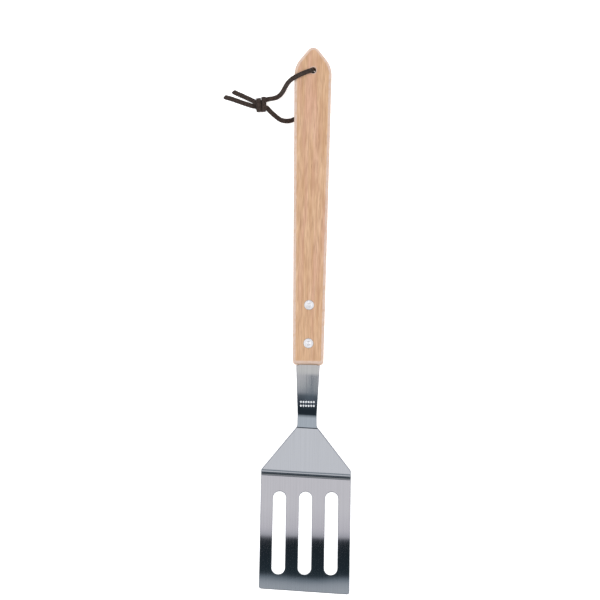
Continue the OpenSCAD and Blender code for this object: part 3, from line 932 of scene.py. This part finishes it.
def steelMaterial():
    material, tree, shader = newMaterial("polishedSheet", {"Metallic": 1})
    spot = addNode(tree, "ShaderNodeTexCoord").outputs["Object"]
    lines = streakMask(tree, spot, 1500.0, 9.0, 0.25, 0.75, depth=9.0)
    # painted dark reflection along the rounded rims; the same mask also raises the roughness there
    paintedEdge = paintedEdgeMask(tree, spot, 3.5, 500.0)
    swell = mottle(tree, spot, 14.0, 1.0)
    plain = blendColours(tree, lines, (0.64, 0.645, 0.665, 1), (0.71, 0.715, 0.735, 1))
    # painted shade darkens the steel along the tight folds; the same mask raises the roughness
    paintedFoldShade = addNode(tree, "ShaderNodeAttribute", attribute_name="paintedFoldShade").outputs["Fac"]
    foldShaded = blendColours(tree, calc(tree, "MULTIPLY", paintedFoldShade, 0.85), plain, (0.13, 0.15, 0.17, 1))
    colour = blendColours(tree, paintedEdge, foldShaded, (0.16, 0.17, 0.19, 1))
    tree.links.new(colour, shader.inputs["Base Color"])
    rough = spread(tree, lines, 0, 1, 0.02, 0.035)
    worn = calc(tree, "MULTIPLY", calc(tree, "ADD", paintedEdge, paintedFoldShade), 0.12)
    tree.links.new(calc(tree, "ADD", rough, worn), shader.inputs["Roughness"])
    wavy = bump(tree, swell, 0.0001)
    tree.links.new(bump(tree, lines, 0.0000004, wavy), shader.inputs["Normal"])
    return material


def setNormals(mesh, attribute):
    stored = mesh.attributes[attribute]
    normals = [tuple(item.vector) for item in stored.data]
    mesh.attributes.remove(stored)
    mesh.normals_split_custom_set_from_vertices(normals)


steel = steelMaterial()
fold = foldGroup(bendGroup())
bladeSheet = linkPiece("bladeSheet", sheetBlank())
sheetMesh = runTree(bladeSheet, sheetTree(fold, steel), foldValues())
setNormals(sheetMesh, "sheetNormal")
sheetMesh.attributes.remove(sheetMesh.attributes["blankNormal"])
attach(bladeSheet, "tool")
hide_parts("blade")
print("sheet folded:", len(sheetMesh.polygons), "faces")


# Oak handle
oak = {
    "length": 258.5,
    "thickness": 18.0,
    "endWidth": 24.8,
    "pointWidth": 30.2,
    "edgeRadius": 2.5,
    "endRadius": 3.0,
    "sideRadius": 20.0,
    "pointRadius": 5.5,
    "pointHalf": 38.5,
    "holeDiameter": 5.0,
    "mouthRadius": 0.8,
    "mortise": (15.4, 62.8, 1.7),
}
rivets = {
    "firstAt": 16.4,
    "gap": 31.0,
    "headDiameter": 8.0,
    "headThickness": 1.3,
    "headProud": 0.4,
    "edgeRound": 0.4,
    "dimpleDiameter": 4.0,
    "dimpleDepth": 0.25,
    "tubeDiameter": 4.8,
    "postDiameter": 3.2,
    "tubeBore": 3.3,
    "shankSpare": 1.1,       # how far a shank stops short of the other head's seat
    "seatSpare": 0.1,
    "boreSpare": 0.1,
}
rivets["seatUp"] = oak["thickness"] / 2 + rivets["headProud"] - rivets["headThickness"]


def oakBlank():
    end = oak["endWidth"] / 2
    wide = oak["pointWidth"] / 2
    half = math.radians(oak["pointHalf"])
    sideRadius = oak["sideRadius"]
    tipY = oak["length"] - oak["pointRadius"]
    sideX = wide - sideRadius
    sideY = tipY + (oak["pointRadius"] - sideRadius - sideX * math.cos(half)) / math.sin(half)
    right = arcPoints(end - oak["endRadius"], oak["endRadius"], oak["endRadius"], -90, 0, 10)
    right += arcPoints(sideX, sideY, sideRadius, 0, oak["pointHalf"], 14)
    right += arcPoints(0, tipY, oak["pointRadius"], oak["pointHalf"], 90, 12)
    left = [(-x, y) for x, y in reversed(right[:-1])]
    outline = [(x * mm, y * mm) for x, y in right + left]
    radius = oak["holeDiameter"] / 2 * mm
    hole = arcPoints(0, hangAt * mm, radius, 0, 360, 40)[:-1]
    loops = [(outline, oak["edgeRadius"] * mm), (hole, oak["mouthRadius"] * mm)]
    return plateMesh("oakHandle", loops, oak["thickness"] * mm, [], 8)


def cutterPiece(name, build):
    shape = bmesh.new()
    build(shape)
    mesh = bpy.data.meshes.new(name)
    shape.to_mesh(mesh)
    shape.free()
    return linkPiece(name, mesh)


def mortiseCutter(shape):
    wide, deep, high = oak["mortise"]
    size = Matrix.Diagonal((wide * mm, 2 * deep * mm, high * mm, 1))
    bmesh.ops.create_cube(shape, size=1, matrix=size)


def rivetCutter(shape):
    # a spool at each rivet: the bore, and a seat for the head in each face
    seatRadius = (rivets["headDiameter"] + rivets["seatSpare"]) / 2 * mm
    boreRadius = (rivets["tubeDiameter"] / 2 + rivets["boreSpare"]) * mm
    seat = rivets["seatUp"] * mm
    tall = oak["thickness"] * mm
    profile = [(seatRadius, -tall), (seatRadius, -seat), (boreRadius, -seat),
               (boreRadius, seat), (seatRadius, seat), (seatRadius, tall)]
    for i in range(2):
        y = (rivets["firstAt"] + i * rivets["gap"]) * mm
        rings = []
        for radius, z in profile:
            circle = arcPoints(0, y, radius, 0, 360, 64)[:-1]
            rings.append([shape.verts.new((px, py, z)) for px, py in circle])
        for low, high in zip(rings, rings[1:]):
            for k in range(len(low)):
                near = (k + 1) % len(low)
                shape.faces.new((low[k], low[near], high[near], high[k]))
        shape.faces.new(list(reversed(rings[0])))
        shape.faces.new(rings[-1])


def cutAway(piece, cutter):
    modifier = piece.modifiers.new("cut", "BOOLEAN")
    modifier.operation = "DIFFERENCE"
    modifier.solver = "EXACT"
    modifier.object = cutter


def oakMaterial():
    material, tree, shader = newMaterial("oiledOak", {"Specular IOR Level": 0.35})
    spot = addNode(tree, "ShaderNodeTexCoord").outputs["Object"]
    turned = addNode(tree, "ShaderNodeMapping", {"Vector": spot, "Rotation": (-handleTilt, 0, 0)}).outputs[0]
    fine = streakMask(tree, turned, 1300.0, 80.0, 0.4, 0.58, 1300.0, 0.0006)
    fibres = streakMask(tree, turned, 520.0, 30.0, 0.34, 0.66, 520.0, 0.001)
    bands = streakMask(tree, turned, 150.0, 9.0, 0.36, 0.64, 150.0, 0.003)
    pores = streakMask(tree, turned, 1050.0, 60.0, 0.61, 0.70, 1050.0, 0.0004)
    knots = streakMask(tree, turned, 520.0, 38.0, 0.69, 0.76, 520.0, 0.001)
    # painted highlight: a pale colour along the rounded edges
    paintedEdge = paintedEdgeMask(tree, turned, 1.3, 300.0)
    wood = blendColours(tree, fibres, (0.45, 0.245, 0.13, 1), (0.65, 0.43, 0.275, 1))
    ground = blendColours(tree, spread(tree, bands, 0, 1, 0, 0.6), wood, (0.62, 0.40, 0.235, 1))
    pink = blendColours(tree, spread(tree, bands, 0.5, 0, 0, 0.6), ground, (0.61, 0.355, 0.255, 1))
    lined = blendColours(tree, spread(tree, fine, 0, 1, 0.4, 0), pink, (0.34, 0.175, 0.09, 1))
    dotted = blendColours(tree, calc(tree, "MULTIPLY", pores, 0.36), lined, (0.24, 0.115, 0.055, 1))
    flecked = blendColours(tree, calc(tree, "MULTIPLY", knots, 0.6), dotted, (0.22, 0.10, 0.045, 1))
    colour = blendColours(tree, paintedEdge, flecked, (0.60, 0.45, 0.37, 1))
    tree.links.new(colour, shader.inputs["Base Color"])
    tree.links.new(spread(tree, fibres, 0, 1, 0.62, 0.5), shader.inputs["Roughness"])
    grain = bump(tree, fine, 0.00003)
    tree.links.new(bump(tree, calc(tree, "SUBTRACT", 1, pores), 0.00008, grain), shader.inputs["Normal"])
    return material


oakWood = oakMaterial()
oakHandle = linkPiece("oakHandle", oakBlank(), oakWood)
mortise = cutterPiece("mortise", mortiseCutter)
rivetBores = cutterPiece("rivetBores", rivetCutter)
cutAway(oakHandle, mortise)
cutAway(oakHandle, rivetBores)
weighted = oakHandle.modifiers.new("weighted", "WEIGHTED_NORMAL")
weighted.keep_sharp = True
oakMesh = keepResult(oakHandle)
oakMesh.transform(toRest)
for cutter in (mortise, rivetBores):
    bpy.data.objects.remove(cutter)
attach(oakHandle, "tool")
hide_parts("handle")
print("handle cut:", len(oakMesh.polygons), "faces")


# Rivets: four heads with their shanks
def rivetHead(tree, start):
    # a disc whose top has a rounded rim and a shallow dimple
    radius = calc(tree, "MULTIPLY", start["Head Diameter"], 0.5)
    disc = addNode(tree, "GeometryNodeMeshCylinder", {
        "Vertices": 72, "Side Segments": 1, "Fill Segments": 40, "Radius": radius,
        "Depth": start["Head Thickness"]}, fill_type="TRIANGLE_FAN")
    halfway = toVector(tree, z=calc(tree, "MULTIPLY", start["Head Thickness"], 0.5))
    raised = addNode(tree, "GeometryNodeTransform", {
        "Geometry": disc.outputs["Mesh"], "Translation": halfway})
    position = addNode(tree, "GeometryNodeInputPosition").outputs[0]
    axes = addNode(tree, "ShaderNodeSeparateXYZ", {0: position}).outputs
    fromMiddle = calc(tree, "SQRT", calc(tree, "ADD", calc(tree, "MULTIPLY", axes["X"], axes["X"]),
                                         calc(tree, "MULTIPLY", axes["Y"], axes["Y"])))
    intoEdge = calc(tree, "SUBTRACT", fromMiddle, calc(tree, "SUBTRACT", radius, start["Edge Round"]))
    part = calc(tree, "DIVIDE", calc(tree, "MAXIMUM", intoEdge, 0), start["Edge Round"])
    under = calc(tree, "SUBTRACT", 1, calc(tree, "MULTIPLY", part, part))
    arc = calc(tree, "SQRT", calc(tree, "MAXIMUM", under, 0))
    edgeDrop = calc(tree, "MULTIPLY", start["Edge Round"], calc(tree, "SUBTRACT", 1, arc))
    dimpleRadius = calc(tree, "MULTIPLY", start["Dimple Diameter"], 0.5)
    dimpleFloor = calc(tree, "MULTIPLY", dimpleRadius, 0.55)
    inDimple = spread(tree, fromMiddle, dimpleFloor, dimpleRadius, 1, 0, True)
    dimple = calc(tree, "MULTIPLY", start["Dimple Depth"], inDimple)
    drop = calc(tree, "MULTIPLY", calc(tree, "ADD", edgeDrop, dimple), -1)
    onTop = calc(tree, "GREATER_THAN", axes["Z"], calc(tree, "MULTIPLY", start["Head Thickness"], 0.9))
    shaped = addNode(tree, "GeometryNodeSetPosition", {
        "Geometry": raised.outputs[0], "Selection": onTop, "Offset": toVector(tree, z=drop)})
    # mask for the rivet's painted reflection along the rounded rim and painted shade in the groove on the
    # dimple's slope
    onSlope = calc(tree, "MULTIPLY", inDimple, calc(tree, "SUBTRACT", 1, inDimple))
    paintedRimAndGrooveShade = calc(tree, "MAXIMUM", part, calc(tree, "MULTIPLY", onSlope, 2.4))
    return addNode(tree, "GeometryNodeStoreNamedAttribute",
                   {"Geometry": shaped.outputs[0], "Name": "edge", "Value": paintedRimAndGrooveShade},
                   data_type="FLOAT", domain="POINT").outputs[0]


def rivetShank(tree, start):
    # a tube, or a solid post where the bore is nothing
    outer = calc(tree, "MULTIPLY", start["Shank Diameter"], 0.5)
    inner = calc(tree, "MULTIPLY", start["Shank Bore"], 0.5)
    ring = addNode(tree, "GeometryNodeCurvePrimitiveCircle", {
        "Resolution": 48, "Radius": calc(tree, "MULTIPLY", calc(tree, "ADD", outer, inner), 0.5)})
    profile = addNode(tree, "GeometryNodeCurvePrimitiveQuadrilateral", {
        "Width": calc(tree, "SUBTRACT", outer, inner), "Height": start["Shank Length"]})
    tube = addNode(tree, "GeometryNodeCurveToMesh", {
        "Curve": ring.outputs[0], "Profile Curve": profile.outputs[0]})
    closed = addNode(tree, "GeometryNodeMergeByDistance", {
        "Geometry": tube.outputs[0], "Distance": 0.000001})
    facesHere = addNode(tree, "GeometryNodeInputMeshEdgeNeighbors").outputs[0]
    clean = addNode(tree, "GeometryNodeDeleteGeometry", {
        "Geometry": closed.outputs[0], "Selection": calc(tree, "LESS_THAN", facesHere, 1)},
        domain="EDGE", mode="EDGE_FACE")
    halfDown = toVector(tree, z=calc(tree, "MULTIPLY", start["Shank Length"], -0.5))
    return addNode(tree, "GeometryNodeTransform", {
        "Geometry": clean.outputs[0], "Translation": halfDown}).outputs[0]


def rivetTree(material):
    takes = {"Geometry": ("Geometry", None), "Head Diameter": ("Float", 0.008),
             "Head Thickness": ("Float", 0.0013), "Edge Round": ("Float", 0.0005),
             "Dimple Diameter": ("Float", 0.004), "Dimple Depth": ("Float", 0.00025),
             "Shank Diameter": ("Float", 0.0048), "Shank Bore": ("Float", 0.0),
             "Shank Length": ("Float", 0.01), "First Place": ("Vector", None),
             "Next Place": ("Vector", None), "Turn": ("Vector", None)}
    tree, start, end = newTree("rivetHalves", "GeometryNodeTree", takes, {"Geometry": "Geometry"})
    rivet = addNode(tree, "GeometryNodeJoinGeometry")
    tree.links.new(rivetHead(tree, start), rivet.inputs[0])
    tree.links.new(rivetShank(tree, start), rivet.inputs[0])
    places = addNode(tree, "GeometryNodeMeshLine", {
        "Count": 2, "Start Location": start["First Place"], "Offset": start["Next Place"]})
    copies = addNode(tree, "GeometryNodeInstanceOnPoints", {
        "Points": places.outputs[0], "Instance": rivet.outputs[0], "Rotation": start["Turn"]})
    finishTree(tree, copies.outputs[0], material, end)
    return tree


def rivetMaterial():
    material, tree, shader = newMaterial("turnedRivet", {"Metallic": 1})
    spot = addNode(tree, "ShaderNodeTexCoord").outputs["Object"]
    lines = streakMask(tree, spot, 2400.0, 300.0, 0.3, 0.7)
    cloud = mottle(tree, spot, 500.0, 3.0)
    # painted reflection of the wood along the rim and painted shade in the dimple's groove: a dark brownish
    # colour
    paintedEdge = paintedEdgeMask(tree, spot, 1.1, 900.0)
    turned = blendColours(tree, lines, (0.62, 0.62, 0.63, 1), (0.74, 0.73, 0.77, 1))
    colour = blendColours(tree, paintedEdge, turned, (0.33, 0.31, 0.28, 1))
    tree.links.new(colour, shader.inputs["Base Color"])
    tree.links.new(spread(tree, cloud, 0.3, 0.7, 0.36, 0.5), shader.inputs["Roughness"])
    tree.links.new(bump(tree, lines, 0.000008), shader.inputs["Normal"])
    return material


def makeRivets(name, tree, shank, bore, length, side):
    values = {
        "Head Diameter": rivets["headDiameter"] * mm,
        "Head Thickness": rivets["headThickness"] * mm,
        "Edge Round": rivets["edgeRound"] * mm,
        "Dimple Diameter": rivets["dimpleDiameter"] * mm,
        "Dimple Depth": rivets["dimpleDepth"] * mm,
        "Shank Diameter": shank * mm,
        "Shank Bore": bore * mm,
        "Shank Length": length * mm,
    }
    seat = side * rivets["seatUp"] * mm
    first = toRest @ Vector((0, rivets["firstAt"] * mm, seat))
    second = toRest @ Vector((0, (rivets["firstAt"] + rivets["gap"]) * mm, seat))
    values["First Place"] = first
    values["Next Place"] = second - first
    values["Turn"] = (handleTilt + (math.pi if side < 0 else 0), 0, 0)
    piece = linkPiece(name, bpy.data.meshes.new(name))
    mesh = runTree(piece, tree, values)
    mesh.shade_smooth()
    mesh.set_sharp_from_angle(angle=math.radians(40))
    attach(piece, "tool")
    return piece


rivetHalves = rivetTree(rivetMaterial())
shankReach = rivets["seatUp"] * 2 - rivets["shankSpare"]
rivetCaps = makeRivets("rivetCaps", rivetHalves, rivets["tubeDiameter"], rivets["tubeBore"], shankReach, 1)
rivetPosts = makeRivets("rivetPosts", rivetHalves, rivets["postDiameter"], 0.0, shankReach, -1)
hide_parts("front_rivet_cap", "rear_rivet_cap")
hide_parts("front_rivet_post", "rear_rivet_post")
print("rivets set")


# Etched mark on the neck: plain lozenges, no lettering
mark = {
    "rows": 2,
    "columns": 6,
    "pitchAcross": 2.1,
    "pitchAlong": 3.1,
    "lozengeWidth": 1.9,
    "lozengeLength": 2.1,
    "depth": 0.04,
    "at": -32.0,          # along the handle's middle line, from its blade end
}


def markTree(fold, material):
    takes = {"Geometry": ("Geometry", None), "Rows": ("Int", 2), "Columns": ("Int", 5),
             "Pitch Across": ("Float", 0.002), "Pitch Along": ("Float", 0.002),
             "Centre Along": ("Float", 0.0), "Level": ("Float", 0.0), "Lozenge": ("Vector", None)}
    for label, value in foldValues().items():
        takes[label] = ("Float", value)
    tree, start, end = newTree("etchedLozenges", "GeometryNodeTree", takes, {"Geometry": "Geometry"})
    acrossSize = calc(tree, "MULTIPLY", start["Pitch Across"], calc(tree, "SUBTRACT", start["Columns"], 1))
    alongSize = calc(tree, "MULTIPLY", start["Pitch Along"], calc(tree, "SUBTRACT", start["Rows"], 1))
    grid = addNode(tree, "GeometryNodeMeshGrid", {
        "Size X": acrossSize, "Size Y": alongSize,
        "Vertices X": start["Columns"], "Vertices Y": start["Rows"]})
    moved = addNode(tree, "GeometryNodeTransform", {
        "Geometry": grid.outputs["Mesh"],
        "Translation": toVector(tree, 0.0, start["Centre Along"], start["Level"])})
    lozenge = addNode(tree, "GeometryNodeMeshCylinder", {
        "Vertices": 4, "Side Segments": 1, "Fill Segments": 1, "Radius": 0.5, "Depth": 1.0})
    copies = addNode(tree, "GeometryNodeInstanceOnPoints", {
        "Points": moved.outputs[0], "Instance": lozenge.outputs["Mesh"], "Scale": start["Lozenge"]})
    real = addNode(tree, "GeometryNodeRealizeInstances", {"Geometry": copies.outputs[0]})
    inputs = {label: start[label] for label in foldValues()}
    inputs["Geometry"] = real.outputs[0]
    finishTree(tree, useGroup(tree, fold, inputs, "GeometryNodeGroup")["Geometry"], material, end)
    return tree


def etchedMaterial():
    material, tree, shader = newMaterial("frostedEtch", {"Metallic": 1})
    spot = addNode(tree, "ShaderNodeTexCoord").outputs["Object"]
    frost = mottle(tree, spot, 4000.0, 3.0)
    colour = blendColours(tree, frost, (0.62, 0.63, 0.65, 1), (0.80, 0.81, 0.83, 1))
    tree.links.new(colour, shader.inputs["Base Color"])
    tree.links.new(spread(tree, frost, 0.3, 0.7, 0.5, 0.7), shader.inputs["Roughness"])
    tree.links.new(bump(tree, frost, 0.00001), shader.inputs["Normal"])
    return material


etchedMark = linkPiece("etchedMark", bpy.data.meshes.new("etchedMark"))
markValues = foldValues()
markValues.update({
    "Rows": mark["rows"],
    "Columns": mark["columns"],
    "Pitch Across": mark["pitchAcross"] * mm,
    "Pitch Along": mark["pitchAlong"] * mm,
    "Centre Along": atRest(Vector((mark["at"], 0))).x,
    "Level": (sheet["thickness"] / 2) * mm,
    "Lozenge": (mark["lozengeWidth"] * mm, mark["lozengeLength"] * mm, mark["depth"] * mm),
})
runTree(etchedMark, markTree(fold, etchedMaterial()), markValues)
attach(etchedMark, "tool")
print("mark etched")
